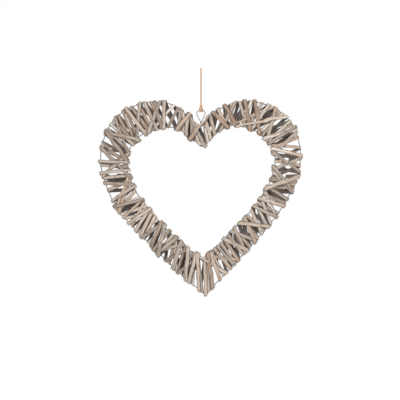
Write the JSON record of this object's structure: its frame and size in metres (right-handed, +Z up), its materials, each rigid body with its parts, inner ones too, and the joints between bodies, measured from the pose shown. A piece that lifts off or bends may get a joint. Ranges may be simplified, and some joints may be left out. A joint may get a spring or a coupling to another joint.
{
  "type": "wicker heart ornament",
  "caption": "Hanging heart wreath of split willow strips wound round a wire frame, with a twisted wire eye and a loop of jute twine.",
  "frame": {"origin": "top of the twine loop, where the ornament hangs from a nail or a hook", "axes": "+Z up, -Y out of the heart's front, +X to the heart's right as seen from the front"},
  "size_m": [0.405, 0.0492, 0.4471],
  "materials": {
    "galvanised_wire": "dull zinc",
    "jute": "hairy twisted twine",
    "willow_1": "grey washed, matt, with bare split faces",
    "willow_2": "grey washed, matt, with bare split faces",
    "willow_3": "grey washed, matt, with bare split faces",
    "willow_4": "grey washed, matt, with bare split faces"
  },
  "bodies": {
    "root": {"outer_wire": "galvanised_wire", "inner_wire": "galvanised_wire", "hanging_eye": "galvanised_wire", "twine": "jute", "twine_knot": "jute", "willow_strip_01": "willow_1", "willow_strip_02": "willow_2", "willow_strip_03": "willow_3", "willow_strip_04": "willow_4", "willow_strip_05": "willow_1", "willow_strip_06": "willow_2", "willow_strip_07": "willow_3", "willow_strip_08": "willow_4", "willow_strip_09": "willow_1", "willow_strip_10": "willow_2", "willow_strip_11": "willow_3", "willow_strip_12": "willow_4", "willow_strip_13": "willow_1", "willow_strip_14": "willow_2", "willow_strip_15": "willow_3", "willow_strip_16": "willow_4", "willow_strip_17": "willow_1", "willow_strip_18": "willow_2", "willow_strip_19": "willow_3", "willow_strip_20": "willow_4", "willow_strip_21": "willow_1", "willow_strip_22": "willow_2", "willow_strip_23": "willow_3", "willow_strip_24": "willow_4", "willow_strip_25": "willow_1", "willow_strip_26": "willow_2", "willow_strip_27": "willow_3", "willow_strip_28": "willow_4", "willow_strip_29": "willow_1", "willow_strip_30": "willow_2", "willow_strip_31": "willow_3", "willow_strip_32": "willow_4", "willow_strip_33": "willow_1", "willow_strip_34": "willow_2", "willow_strip_35": "willow_3"}
  },
  "joints": []
}
